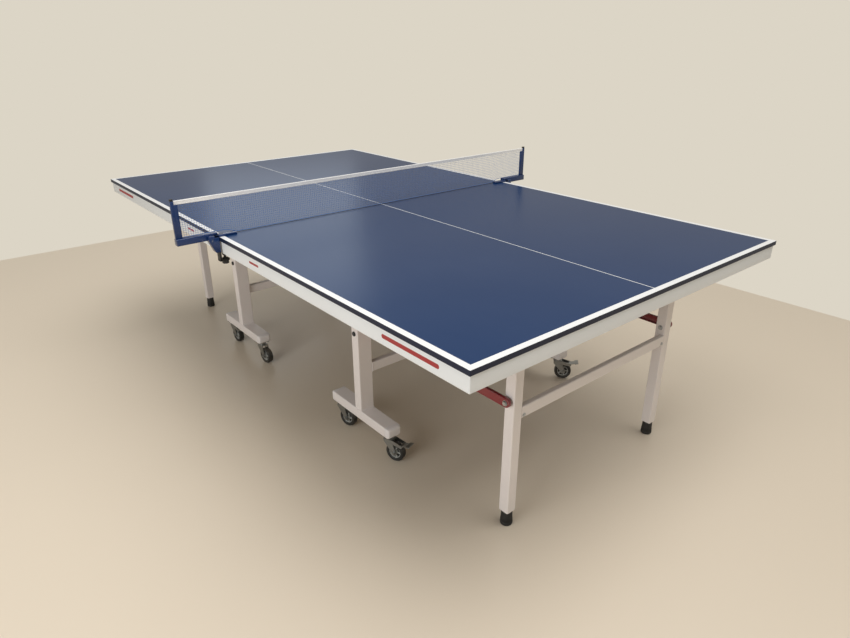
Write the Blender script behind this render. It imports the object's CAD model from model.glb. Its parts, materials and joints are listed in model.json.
"""Looks of a folding table tennis table: painted boards, coated steel frame, castors, link bars and net.

Every length is in metres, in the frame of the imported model: the origin is on the floor under the
middle of the net, +X runs to the near end line, +Y across the table and +Z up.
"""

import json
import logging
import math
from dataclasses import dataclass
from enum import Enum
from typing import Any, Callable, Sequence

import bmesh
import bpy
from mathutils import Matrix, Vector

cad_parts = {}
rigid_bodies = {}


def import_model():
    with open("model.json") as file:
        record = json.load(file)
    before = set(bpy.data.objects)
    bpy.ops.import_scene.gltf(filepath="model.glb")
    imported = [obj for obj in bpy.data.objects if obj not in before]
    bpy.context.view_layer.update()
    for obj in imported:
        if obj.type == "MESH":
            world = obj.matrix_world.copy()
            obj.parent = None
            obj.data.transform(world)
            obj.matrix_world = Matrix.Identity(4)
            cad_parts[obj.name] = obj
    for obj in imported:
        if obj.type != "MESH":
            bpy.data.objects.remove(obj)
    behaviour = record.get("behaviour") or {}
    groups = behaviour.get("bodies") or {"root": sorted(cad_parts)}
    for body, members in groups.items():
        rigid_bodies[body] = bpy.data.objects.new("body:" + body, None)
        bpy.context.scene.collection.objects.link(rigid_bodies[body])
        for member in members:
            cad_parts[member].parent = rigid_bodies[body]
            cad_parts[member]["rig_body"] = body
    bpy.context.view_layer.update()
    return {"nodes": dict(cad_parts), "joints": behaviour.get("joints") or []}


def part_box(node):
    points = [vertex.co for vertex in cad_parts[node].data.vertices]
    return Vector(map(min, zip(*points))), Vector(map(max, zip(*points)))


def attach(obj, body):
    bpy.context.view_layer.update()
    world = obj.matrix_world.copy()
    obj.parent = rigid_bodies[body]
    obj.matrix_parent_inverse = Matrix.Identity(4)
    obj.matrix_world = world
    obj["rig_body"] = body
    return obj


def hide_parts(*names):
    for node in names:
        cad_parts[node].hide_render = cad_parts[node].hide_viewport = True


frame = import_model()

LOG = logging.getLogger("table")
MM = 0.001
Ring = list[Vector]


class Half(Enum):
    """A half of the table, with the direction in which it lies from the net."""

    NEAR = 1
    FAR = -1

    def node(self, part: str) -> str:
        """Returns the name of one of this half's CAD nodes."""
        return f"{self.name.lower()}_{part}"


class Hand(Enum):
    """A side of the table, with the direction in which it lies from the centre line."""

    LEFT = -1
    RIGHT = 1


class Shading(Enum):
    """How the faces of a piece meet."""

    SOFT = 60
    CRISP = 35


def linear(code: str) -> tuple[float, float, float, float]:
    """Turns a hex colour into the linear colour that a shader takes.

    Args:
        code: The colour as #rrggbb.

    Returns:
        Red, green, blue and an opacity of one.
    """
    parts = [int(code[i:i + 2], 16) / 255 for i in (1, 3, 5)]
    red, green, blue = (p / 12.92 if p <= 0.04045 else ((p + 0.055) / 1.055) ** 2.4 for p in parts)
    return red, green, blue, 1.0


def linked(name: str, data: Any) -> bpy.types.Object:
    """Puts a new object in the scene.

    Args:
        name: The object's name.
        data: Its mesh, light or camera.

    Returns:
        The object.
    """
    made = bpy.data.objects.new(name, data)
    bpy.context.scene.collection.objects.link(made)
    return made


# ---- shader groups ----


@dataclass
class Wiring:
    """Adds nodes to a shader or geometry tree and joins their sockets."""

    tree: bpy.types.NodeTree

    def add(self, kind: str, settings: dict[str, Any] | None = None, **inputs: Any) -> bpy.types.Node:
        """Adds a node and fills its inputs.

        Args:
            kind: The node's type name.
            settings: Properties of the node itself.
            **inputs: A socket or a value for each input, by its name with _ for a space, or by
                its number as i0, i1 and so on.

        Returns:
            The new node.
        """
        node = self.tree.nodes.new(kind)
        for key, value in (settings or {}).items():
            setattr(node, key, value)
        for key, value in inputs.items():
            number = key[1:].isdigit() and key[0] == "i"
            socket = node.inputs[int(key[1:])] if number else node.inputs[key.replace("_", " ")]
            if isinstance(value, bpy.types.NodeSocket):
                self.tree.links.new(value, socket)
            else:
                socket.default_value = value
        return node

    def math(self, operation: str, *values: Any) -> bpy.types.NodeSocket:
        """Adds a Math node.

        Args:
            operation: The node's operation.
            *values: A socket or a number for each of its inputs.

        Returns:
            The result's socket.
        """
        inputs = {f"i{i}": value for i, value in enumerate(values)}
        return self.add("ShaderNodeMath", {"operation": operation}, **inputs).outputs[0]


@dataclass(frozen=True)
class GroupPlan:
    """A shader node group: its named inputs with their defaults, its outputs and what wires it."""

    name: str
    inputs: tuple[tuple[str, float], ...]
    outputs: tuple[str, ...]
    wire: Callable[[Wiring, Callable[[str], bpy.types.NodeSocket]], dict[str, bpy.types.NodeSocket]]

    def build(self) -> bpy.types.NodeTree:
        """Makes the group, or finds it if it was made before.

        Returns:
            The node group.
        """
        made = bpy.data.node_groups.get(self.name)
        if made:
            return made
        tree = bpy.data.node_groups.new(self.name, "ShaderNodeTree")
        for name, value in self.inputs:
            socket = tree.interface.new_socket(name, in_out="INPUT", socket_type="NodeSocketFloat")
            socket.default_value = value
        for name in self.outputs:
            tree.interface.new_socket(name, in_out="OUTPUT", socket_type="NodeSocketFloat")
        wiring = Wiring(tree)
        entry, leave = wiring.add("NodeGroupInput"), wiring.add("NodeGroupOutput")
        for name, socket in self.wire(wiring, lambda n: entry.outputs[n]).items():
            tree.links.new(socket, leave.inputs[name])
        return tree


def wire_orange_peel(w: Wiring, given: Callable[[str], bpy.types.NodeSocket]) -> dict[str, bpy.types.NodeSocket]:
    """Wires the fine ripple of a sprayed or moulded skin, with a slow drift of its shade.

    Args:
        w: The group's wiring.
        given: Finds the socket of a named input.

    Returns:
        The socket for each named output.
    """
    place = w.add("ShaderNodeTexCoord").outputs["Object"]
    fine = w.add("ShaderNodeTexNoise", Vector=place, Scale=given("Grain"), Detail=2.0, Roughness=0.5)
    slow = w.add("ShaderNodeTexNoise", Vector=place, Scale=given("Drift"), Detail=3.0, Roughness=0.6)
    drift = w.math("MULTIPLY", w.math("SUBTRACT", slow.outputs[0], 0.5), given("Spread"))
    return {"Height": fine.outputs[0], "Shade": w.math("ADD", drift, 1.0)}


def wire_dust(w: Wiring, given: Callable[[str], bpy.types.NodeSocket]) -> dict[str, bpy.types.NodeSocket]:
    """Wires dust that settles on faces that look up, in patches.

    Args:
        w: The group's wiring.
        given: Finds the socket of a named input.

    Returns:
        The socket for each named output.
    """
    place = w.add("ShaderNodeTexCoord").outputs["Object"]
    up = w.add("ShaderNodeSeparateXYZ", Vector=w.add("ShaderNodeNewGeometry").outputs["Normal"]).outputs[2]
    patches = w.add("ShaderNodeTexNoise", Vector=place, Scale=given("Patches"), Detail=5.0, Roughness=0.65)
    lying = w.add("ShaderNodeMapRange", i0=up, i1=0.2, i2=0.95, i3=0.25, i4=1.0).outputs[0]
    spots = w.add("ShaderNodeMapRange", i0=patches.outputs[0], i1=0.42, i2=0.72, i3=0.0, i4=1.0).outputs[0]
    return {"Mask": w.math("MULTIPLY", w.math("MULTIPLY", lying, spots), given("Amount"))}


def wire_rim_wear(w: Wiring, given: Callable[[str], bpy.types.NodeSocket]) -> dict[str, bpy.types.NodeSocket]:
    """Wires paint that has rubbed off along the rims, where the rim mask is high.

    Args:
        w: The group's wiring.
        given: Finds the socket of a named input.

    Returns:
        The socket for each named output.
    """
    place = w.add("ShaderNodeTexCoord").outputs["Object"]
    chips = w.add("ShaderNodeTexNoise", Vector=place, Scale=given("Chips"), Detail=4.0, Roughness=0.7)
    edge = w.math("MULTIPLY", given("Rim"), chips.outputs[0])
    worn = w.add("ShaderNodeMapRange", i0=edge, i1=given("Start"), i2=0.62, i3=0.0, i4=1.0).outputs[0]
    return {"Mask": worn}


def wire_weave(w: Wiring, given: Callable[[str], bpy.types.NodeSocket]) -> dict[str, bpy.types.NodeSocket]:
    """Wires the crossed threads of a plain cloth that lies across the table.

    Args:
        w: The group's wiring.
        given: Finds the socket of a named input.

    Returns:
        The socket for each named output.
    """
    place = w.add("ShaderNodeSeparateXYZ", Vector=w.add("ShaderNodeTexCoord").outputs["Object"])
    warp = w.math("SINE", w.math("MULTIPLY", place.outputs[1], given("Threads")))
    weft = w.math("SINE", w.math("MULTIPLY", place.outputs[2], given("Threads")))
    crossed = w.math("ADD", w.math("MULTIPLY", w.math("MULTIPLY", warp, weft), 0.5), 0.5)
    return {"Height": crossed, "Shade": w.math("ADD", w.math("MULTIPLY", crossed, 0.12), 0.92)}


def wire_scuffs(w: Wiring, given: Callable[[str], bpy.types.NodeSocket]) -> dict[str, bpy.types.NodeSocket]:
    """Wires faint smears and ball marks on a playing surface.

    Args:
        w: The group's wiring.
        given: Finds the socket of a named input.

    Returns:
        The socket for each named output.
    """
    place = w.add("ShaderNodeTexCoord").outputs["Object"]
    smear = w.add("ShaderNodeTexNoise", Vector=place, Scale=2.3, Detail=6.0, Roughness=0.62, Distortion=0.6)
    ball = w.add("ShaderNodeTexVoronoi", {"feature": "F1"}, Vector=place, Scale=given("Marks"))
    dot = w.add("ShaderNodeMapRange", i0=ball.outputs["Distance"], i1=0.05, i2=0.11, i3=1.0, i4=0.0).outputs[0]
    haze = w.add("ShaderNodeMapRange", i0=smear.outputs[0], i1=0.38, i2=0.75, i3=0.0, i4=1.0).outputs[0]
    both = w.math("ADD", haze, w.math("MULTIPLY", w.math("MULTIPLY", dot, smear.outputs[0]), 0.5))
    return {"Mask": w.math("MULTIPLY", both, given("Amount"))}


ORANGE_PEEL = GroupPlan("Orange peel", (("Grain", 900.0), ("Drift", 4.0), ("Spread", 0.06)), ("Height", "Shade"),
                        wire_orange_peel)
DUST = GroupPlan("Settled dust", (("Patches", 7.0), ("Amount", 0.2)), ("Mask",), wire_dust)
RIM_WEAR = GroupPlan("Rim wear", (("Rim", 0.0), ("Chips", 160.0), ("Start", 0.5)), ("Mask",), wire_rim_wear)
WEAVE = GroupPlan("Plain weave", (("Threads", 5200.0),), ("Height", "Shade"), wire_weave)
SCUFFS = GroupPlan("Play scuffs", (("Marks", 9.0), ("Amount", 0.1)), ("Mask",), wire_scuffs)


# ---- finishes ----


@dataclass(frozen=True)
class Finish:
    """A sprayed, plated or moulded skin, which every other finish builds on."""

    name: str
    colour: str
    roughness: float
    grain: float = 900.0
    depth: float = 0.00004
    spread: float = 0.06
    drift: float = 4.0
    dust: float = 0.12
    dust_colour: str = "#B9B0A2"
    metallic: float = 0.0
    coat: float = 0.0
    coat_roughness: float = 0.1
    roughness_spread: float = 0.06
    wear: float = 0.0
    under_colour: str = "#8C8F93"
    specular: float = 0.5

    def start(self) -> tuple[bpy.types.Material, Wiring, bpy.types.Node]:
        """Makes an empty material with its shader.

        Returns:
            The material, its wiring and its Principled node.
        """
        material = bpy.data.materials.new(self.name)
        material.use_nodes = True
        material.diffuse_color = linear(self.colour)
        tree = material.node_tree
        tree.nodes.clear()
        w = Wiring(tree)
        shader = w.add("ShaderNodeBsdfPrincipled", Metallic=self.metallic, Roughness=self.roughness,
                       Coat_Weight=self.coat, Coat_Roughness=self.coat_roughness, Specular_IOR_Level=self.specular)
        out = w.add("ShaderNodeOutputMaterial")
        tree.links.new(shader.outputs[0], out.inputs["Surface"])
        return material, w, shader

    def group(self, w: Wiring, plan: GroupPlan, **values: Any) -> bpy.types.Node:
        """Places a shared group in a material.

        Args:
            w: The material's wiring.
            plan: The group's plan.
            **values: The group's inputs.

        Returns:
            The group's node.
        """
        return w.add("ShaderNodeGroup", {"node_tree": plan.build()}, **values)

    def skin(self, w: Wiring) -> bpy.types.Node:
        """Places the orange peel group with this finish's own values."""
        return self.group(w, ORANGE_PEEL, Grain=self.grain, Drift=self.drift, Spread=self.spread)

    def blend(self, w: Wiring, share: Any, first: Any, second: Any, mode: str = "MIX") -> bpy.types.NodeSocket:
        """Adds a colour mix and returns its result."""
        return w.add("ShaderNodeMix", {"data_type": "RGBA", "blend_type": mode}, i0=share, i6=first,
                     i7=second).outputs[2]

    def tinted(self, w: Wiring, shade: bpy.types.NodeSocket) -> bpy.types.NodeSocket:
        """Returns the finish's colour made lighter and darker by a shade."""
        grey = w.add("ShaderNodeCombineColor", i0=shade, i1=shade, i2=shade).outputs[0]
        return self.blend(w, 1.0, linear(self.colour), grey, "MULTIPLY")

    def relief(self, w: Wiring, shader: bpy.types.Node, height: bpy.types.NodeSocket, depth: float) -> None:
        """Bumps the shader's normal by a height."""
        bump = w.add("ShaderNodeBump", Height=height, Distance=depth, Strength=1.0)
        w.tree.links.new(bump.outputs[0], shader.inputs["Normal"])

    def dusted(self, w: Wiring, colour: bpy.types.NodeSocket) -> tuple[bpy.types.NodeSocket, bpy.types.NodeSocket]:
        """Lays dust over a colour.

        Args:
            w: The material's wiring.
            colour: The clean colour.

        Returns:
            The dusty colour and the dust's mask.
        """
        mask = self.group(w, DUST, Amount=self.dust).outputs["Mask"]
        return self.blend(w, mask, colour, linear(self.dust_colour)), mask

    def material(self) -> bpy.types.Material:
        """Makes the finish's material.

        Returns:
            The material, with its colour, roughness and relief wired from the shared groups.
        """
        material, w, shader = self.start()
        skin = self.skin(w)
        colour, dust = self.dusted(w, self.tinted(w, skin.outputs["Shade"]))
        rough = w.math("MULTIPLY_ADD", skin.outputs["Height"], self.roughness_spread,
                       self.roughness - self.roughness_spread / 2)
        if self.wear:
            rim = w.add("ShaderNodeAttribute", {"attribute_name": "rim"}).outputs["Fac"]
            bare = self.group(w, RIM_WEAR, Rim=rim, Start=0.62 - self.wear).outputs["Mask"]
            colour = self.blend(w, bare, colour, linear(self.under_colour))
            w.tree.links.new(w.math("MULTIPLY", bare, 0.85), shader.inputs["Metallic"])
        w.tree.links.new(colour, shader.inputs["Base Color"])
        w.tree.links.new(w.math("MULTIPLY_ADD", dust, 0.3, rough), shader.inputs["Roughness"])
        self.relief(w, shader, skin.outputs["Height"], self.depth)
        return material


@dataclass(frozen=True)
class PlayingPaint(Finish):
    """The matt paint of a playing surface, with a sanded tooth and faint marks of play."""

    scuffs: float = 0.03
    scuff_colour: str = "#7E8CA6"

    def material(self) -> bpy.types.Material:
        """Makes the paint's material.

        Returns:
            The material.
        """
        material, w, shader = self.start()
        skin = self.skin(w)
        marks = self.group(w, SCUFFS, Amount=self.scuffs).outputs["Mask"]
        colour = self.blend(w, marks, self.tinted(w, skin.outputs["Shade"]), linear(self.scuff_colour))
        w.tree.links.new(colour, shader.inputs["Base Color"])
        w.tree.links.new(w.math("MULTIPLY_ADD", marks, 0.5, self.roughness), shader.inputs["Roughness"])
        self.relief(w, shader, skin.outputs["Height"], self.depth)
        return material


@dataclass(frozen=True)
class Cloth(Finish):
    """Woven cloth or twisted cord."""

    threads: float = 5200.0

    def material(self) -> bpy.types.Material:
        """Makes the cloth's material.

        Returns:
            The material.
        """
        material, w, shader = self.start()
        weave = self.group(w, WEAVE, Threads=self.threads)
        colour, _ = self.dusted(w, self.tinted(w, weave.outputs["Shade"]))
        w.tree.links.new(colour, shader.inputs["Base Color"])
        self.relief(w, shader, weave.outputs["Height"], self.depth)
        shader.inputs["Sheen Weight"].default_value = 0.25
        return material


@dataclass(frozen=True)
class ChipBoard(Finish):
    """The bare pressed underside of a board, with its flecks of wood."""

    fleck_colour: str = "#4A3A2C"

    def material(self) -> bpy.types.Material:
        """Makes the board's material.

        Returns:
            The material.
        """
        material, w, shader = self.start()
        skin = self.skin(w)
        place = w.add("ShaderNodeTexCoord").outputs["Object"]
        stretched = w.add("ShaderNodeMapping", Vector=place, Scale=(1.0, 2.6, 1.0)).outputs[0]
        chips = w.add("ShaderNodeTexVoronoi", Vector=stretched, Scale=120.0)
        flecks = w.add("ShaderNodeMapRange", i0=chips.outputs["Distance"], i1=0.15, i2=0.8, i3=0.55, i4=0.0)
        colour = self.blend(w, flecks.outputs[0], self.tinted(w, skin.outputs["Shade"]), linear(self.fleck_colour))
        w.tree.links.new(colour, shader.inputs["Base Color"])
        self.relief(w, shader, chips.outputs["Distance"], self.depth)
        return material


class Finishes:
    """Every finish of the table, each made once."""

    BOARD = PlayingPaint("board_blue", "#12335F", 0.28, grain=1400.0, depth=0.00001, spread=0.07, drift=1.2,
                         specular=0.22)
    LINE = PlayingPaint("line_white", "#EDEFF2", 0.4, grain=1400.0, depth=0.00001, spread=0.03, scuffs=0.05,
                        scuff_colour="#B9BDC4")
    LIPPING = Finish("edge_band", "#121C36", 0.4, grain=500.0, spread=0.12, dust=0.0, specular=0.3)
    CHIPBOARD = ChipBoard("board_underside", "#6E5B47", 0.75, grain=300.0, depth=0.0002, spread=0.2, drift=8.0)
    RAIL = Finish("rail_white", "#E6EAEE", 0.34, grain=650.0, depth=0.00006, dust=0.12)
    FRAME = Finish("frame_white", "#E8E1DF", 0.36, grain=650.0, depth=0.00004, dust=0.08, spread=0.08)
    CAP = Finish("cap_white", "#E6E1E1", 0.42, grain=1800.0, depth=0.00003, dust=0.1)
    STRIPE = Finish("stripe_red", "#A3262C", 0.4, grain=900.0, spread=0.04)
    ZINC = Finish("zinc", "#A0A2A2", 0.32, metallic=1.0, grain=260.0, depth=0.00003, spread=0.28, drift=70.0,
                  roughness_spread=0.22, dust=0.15)
    STEEL_BOLT = Finish("bright_bolt", "#B9BCBE", 0.28, metallic=1.0, grain=1500.0, spread=0.15, drift=90.0, dust=0.05)
    BLACK_BOLT = Finish("bolt_black", "#17181A", 0.38, grain=700.0, spread=0.2, dust=0.12)
    LINK = Finish("link_red", "#7C1822", 0.33, grain=600.0, depth=0.00007, spread=0.12, coat=0.35, wear=0.2,
                  dust=0.12)
    RUBBER = Finish("rubber_black", "#161616", 0.62, grain=1200.0, depth=0.00012, spread=0.3, drift=30.0, dust=0.3)
    TYRE = Finish("tyre_black", "#1B1B1A", 0.5, grain=1500.0, depth=0.0001, spread=0.3, drift=25.0, dust=0.35)
    HUB = Finish("hub_grey", "#B4B6B2", 0.42, grain=1300.0, depth=0.00005, spread=0.12, drift=30.0, dust=0.25)
    POST = Finish("post_navy", "#042C60", 0.25, grain=500.0, depth=0.00003, spread=0.12, coat=0.3, wear=0.03,
                  dust=0.06)
    KNOB = Finish("knob_black", "#141517", 0.42, grain=1600.0, depth=0.00005, spread=0.2, dust=0.12)
    PAD = Finish("pad_rubber", "#1D1D1D", 0.7, grain=1100.0, depth=0.0001, spread=0.2)
    NET = Cloth("net_cord", "#4470B4", 0.8, depth=0.0002, threads=9000.0, dust=0.05)
    TAPE = Cloth("net_tape", "#FAFAFB", 0.82, depth=0.00012, dust=0.0)

    _made: dict[str, bpy.types.Material] = {}

    @classmethod
    def get(cls, finish: Finish) -> bpy.types.Material:
        """Returns the material of a finish, made the first time it is asked for."""
        if finish.name not in cls._made:
            cls._made[finish.name] = finish.material()
        return cls._made[finish.name]


# ---- making meshes ----


class Bench:
    """Where meshes are made: rings of points are skinned into closed shells, then finished as pieces."""

    @staticmethod
    def skin(bm: bmesh.types.BMesh, rings: Sequence[Ring], material: int = 0, round_trip: bool = False,
             closed: bool = True) -> list[bmesh.types.BMFace]:
        """Skins rings of the same number of points, one after the other.

        Args:
            bm: The mesh that gets the faces.
            rings: The rings in order.
            material: The faces' material number.
            round_trip: Whether the last ring joins the first, as in a hoop.
            closed: Whether each ring closes on itself. Open rings make a sheet.

        Returns:
            The new faces.
        """
        rows = [[bm.verts.new(p) for p in ring] for ring in rings]
        count, faces = len(rows[0]), []
        pairs = list(zip(rows, rows[1:] + rows[:1])) if round_trip else list(zip(rows, rows[1:]))
        for low, high in pairs:
            for i in range(count if closed else count - 1):
                j = (i + 1) % count
                faces.append(bm.faces.new((low[i], low[j], high[j], high[i])))
        if not round_trip and closed:
            faces += [bm.faces.new(rows[0][::-1]), bm.faces.new(rows[-1])]
        for face in faces:
            face.material_index = material
        return faces

    @staticmethod
    def turned(bm: bmesh.types.BMesh, profile: Sequence[tuple[float, float]], place: Matrix, steps: int = 40,
               material: int = 0, hoop: bool = False) -> None:
        """Turns a profile round the Z axis of a place.

        Args:
            bm: The mesh that gets the faces.
            profile: Radius and height of each point. A plain turning runs from bottom to top.
            place: Where the axis goes.
            steps: Faces round the axis.
            material: The faces' material number.
            hoop: Whether the profile closes on itself and leaves a hole round the axis.
        """
        angles = [2 * math.pi * i / steps for i in range(steps)]
        rings = [[place @ Vector((r * math.cos(a), r * math.sin(a), h)) for a in angles] for r, h in profile]
        Bench.skin(bm, rings, material, round_trip=hoop)

    @staticmethod
    def rounded(width: float, height: float, radius: float, steps: int = 4) -> list[tuple[float, float]]:
        """Outlines a rounded rectangle about its centre, anticlockwise.

        Args:
            width: Its size along the first axis.
            height: Its size along the second axis.
            radius: The radius of its corners.
            steps: The steps round each corner.

        Returns:
            The outline's points.
        """
        points = []
        for cx, cy, start in ((1, 1, 0), (-1, 1, 90), (-1, -1, 180), (1, -1, 270)):
            for i in range(steps + 1):
                a = math.radians(start + 90 * i / steps)
                points.append((cx * (width / 2 - radius) + radius * math.cos(a),
                               cy * (height / 2 - radius) + radius * math.sin(a)))
        return points

    @staticmethod
    def block(bm: bmesh.types.BMesh, low: Sequence[float], high: Sequence[float], radius: float, axis: int = 2,
              material: int = 0) -> None:
        """Adds a block with rounded corners along one axis and eased edges at its two ends.

        Args:
            bm: The mesh that gets the faces.
            low: Its lowest corner.
            high: Its highest corner.
            radius: The radius of its corners.
            axis: The axis that the corners run along.
            material: The faces' material number.
        """
        a, b = [(1, 2), (2, 0), (0, 1)][axis]
        size = [h - l for l, h in zip(low, high)]
        ease = min(radius * 0.5, size[axis] * 0.3)
        rings = []
        for at, inset in ((0, ease), (ease * 0.3, ease * 0.3), (ease, 0), (size[axis] - ease, 0),
                          (size[axis] - ease * 0.3, ease * 0.3), (size[axis], ease)):
            ring = []
            for u, v in Bench.rounded(size[a] - 2 * inset, size[b] - 2 * inset, max(radius - inset, 0.0002)):
                p = [0.0, 0.0, 0.0]
                p[a], p[b], p[axis] = (low[a] + high[a]) / 2 + u, (low[b] + high[b]) / 2 + v, low[axis] + at
                ring.append(Vector(p))
            rings.append(ring)
        Bench.skin(bm, rings, material)

    @staticmethod
    def plate(bm: bmesh.types.BMesh, outline: Sequence[tuple[float, float]], thickness: float, place: Matrix,
              ease: float = 0.0006, material: int = 0) -> None:
        """Adds a flat plate with eased edges, from an outline that bulges out everywhere.

        Args:
            bm: The mesh that gets the faces.
            outline: The outline in the XY plane of its place, anticlockwise.
            thickness: How far it goes up along that place's Z.
            place: Where it goes.
            ease: How much its edges are rounded.
            material: The faces' material number.
        """
        centre = Vector((sum(p[0] for p in outline), sum(p[1] for p in outline))) / len(outline)
        rings = []
        for height, inset in ((0, ease), (ease * 0.35, ease * 0.35), (ease, 0), (thickness - ease, 0),
                              (thickness - ease * 0.35, ease * 0.35), (thickness, ease)):
            ring = []
            for p in outline:
                inward = (centre - Vector(p)).normalized() * inset
                ring.append(place @ Vector((p[0] + inward.x, p[1] + inward.y, height)))
            rings.append(ring)
        Bench.skin(bm, rings, material)

    @staticmethod
    def piece(name: str, bm: bmesh.types.BMesh, finishes: Sequence[Finish], shading: Shading = Shading.CRISP,
              turn_out: bool = True) -> bpy.types.Object:
        """Finishes a mesh as an object at the origin.

        Args:
            name: The piece's name.
            bm: Its mesh, which is freed.
            finishes: Its finishes, by material number.
            shading: How its faces meet.
            turn_out: Whether its doubles are merged and its faces turned outwards.

        Returns:
            The object.
        """
        if turn_out:
            bmesh.ops.remove_doubles(bm, verts=bm.verts, dist=0.000002)
            bmesh.ops.dissolve_degenerate(bm, edges=bm.edges, dist=0.000001)
            bmesh.ops.recalc_face_normals(bm, faces=bm.faces)
        limit = math.radians(shading.value)
        for face in bm.faces:
            face.smooth = True
        for edge in bm.edges:
            edge.smooth = len(edge.link_faces) == 2 and edge.calc_face_angle(0) < limit
        mesh = bpy.data.meshes.new(name)
        bm.to_mesh(mesh)
        bm.free()
        for finish in finishes:
            mesh.materials.append(Finishes.get(finish))
        return linked(name, mesh)

    @staticmethod
    def mark_rims(piece: bpy.types.Object, reach: float) -> None:
        """Stores how near each point is to a crease of its piece, for paint that wears at the rims.

        Args:
            piece: The piece.
            reach: The distance over which the mask fades.
        """
        mesh = piece.data
        bm = bmesh.new()
        bm.from_mesh(mesh)
        values = []
        for vert in bm.verts:
            bend = max((edge.calc_face_angle(0) for edge in vert.link_edges if len(edge.link_faces) == 2), default=0)
            values.append(min(1.0, bend / reach))
        bm.free()
        mask = mesh.attributes.new("rim", "FLOAT", "POINT")
        mask.data.foreach_set("value", values)


def dress(piece: bpy.types.Object, body: str,
          replaces: Sequence[str] = ()) -> bpy.types.Object:
    """Puts a piece on its CAD body and reports it.

    Args:
        piece: The piece.
        body: The CAD body that it moves with.
        replaces: The CAD nodes that it stands for.

    Returns:
        The piece.
    """
    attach(piece, body)
    if replaces:
        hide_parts(*replaces)
    LOG.info("%s: %d faces on %s", piece.name, len(piece.data.polygons), body)
    return piece


def repaint(node: str, finish: Finish) -> None:
    """Gives a CAD node that stays in view its finish."""
    for holder in frame["nodes"][node].material_slots:
        holder.material = Finishes.get(finish)


def body_of(node: str) -> str:
    """Returns the CAD body of a node."""
    return frame["nodes"][node]["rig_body"]


def joint(name: str) -> dict[str, Any]:
    """Returns the record of a joint."""
    return next(j for j in frame["joints"] if j["name"] == name)


def aimed(origin: Vector, axis: Vector, side: Vector) -> Matrix:
    """Makes a place whose Z runs along an axis and whose X runs to one side.

    Args:
        origin: Where the place is.
        axis: The direction of its Z.
        side: The direction of its X, square to the axis.

    Returns:
        The place.
    """
    z, x = axis.normalized(), side.normalized()
    turn = Matrix((x, z.cross(x), z)).transposed()
    return Matrix.Translation(origin) @ turn.to_4x4()


# ---- geometry node trees ----


class Repeater:
    """A Geometry Nodes tree for a piece that repeats, baked to a plain mesh."""

    def __init__(self, name: str, sizes: Sequence[tuple[str, str]]) -> None:
        """Makes the tree with its named inputs.

        Args:
            name: The tree's name.
            sizes: The name and the kind of each input: Float, Int, Vector or Material.
        """
        self.tree = bpy.data.node_groups.new(name, "GeometryNodeTree")
        self.keys = {}
        interface = self.tree.interface
        interface.new_socket("Geometry", in_out="INPUT", socket_type="NodeSocketGeometry")
        for label, kind in sizes:
            socket = interface.new_socket(label, in_out="INPUT", socket_type=f"NodeSocket{kind}")
            self.keys[label] = socket.identifier
        interface.new_socket("Geometry", in_out="OUTPUT", socket_type="NodeSocketGeometry")
        self.w = Wiring(self.tree)
        self.entry = self.w.add("NodeGroupInput")

    def given(self, label: str) -> bpy.types.NodeSocket:
        """Returns the socket of a named input."""
        return self.entry.outputs[label]

    def close(self, instances: bpy.types.NodeSocket) -> None:
        """Ends the tree in Realize Instances and Set Material.

        Args:
            instances: The geometry to put out.
        """
        real = self.w.add("GeometryNodeRealizeInstances", Geometry=instances).outputs[0]
        painted = self.w.add("GeometryNodeSetMaterial", Geometry=real, Material=self.given("Finish")).outputs[0]
        leave = self.w.add("NodeGroupOutput")
        self.tree.links.new(painted, leave.inputs[0])

    def bake(self, seed_mesh: bpy.types.Mesh, **sizes: Any) -> bpy.types.Mesh:
        """Runs the tree on a mesh and returns the result as a plain mesh.

        Args:
            seed_mesh: The points or the empty mesh that the tree starts from.
            **sizes: A value for each named input, with _ for a space.

        Returns:
            The new mesh.
        """
        holder = linked("seed", seed_mesh)
        modifier = holder.modifiers.new("repeat", "NODES")
        modifier.node_group = self.tree
        for label, value in sizes.items():
            modifier[self.keys[label.replace("_", " ")]] = value
        graph = bpy.context.evaluated_depsgraph_get()
        mesh = bpy.data.meshes.new_from_object(holder.evaluated_get(graph))
        holder.modifiers.clear()
        bpy.data.objects.remove(holder)
        return mesh

    @staticmethod
    def shown(name: str, mesh: bpy.types.Mesh, place: Matrix | None = None) -> bpy.types.Object:
        """Puts a baked mesh in the scene, with its place in its points.

        Args:
            name: The piece's name.
            mesh: The mesh.
            place: Where it goes.

        Returns:
            The object.
        """
        if place is not None:
            mesh.transform(place)
        mesh.name = name
        return linked(name, mesh)


@dataclass(frozen=True)
class BoltKind:
    """A kind of bolt or screw head, with the washer under it."""

    head: float
    height: float
    sides: int
    washer: float
    crown: float
    finish: Finish


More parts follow.
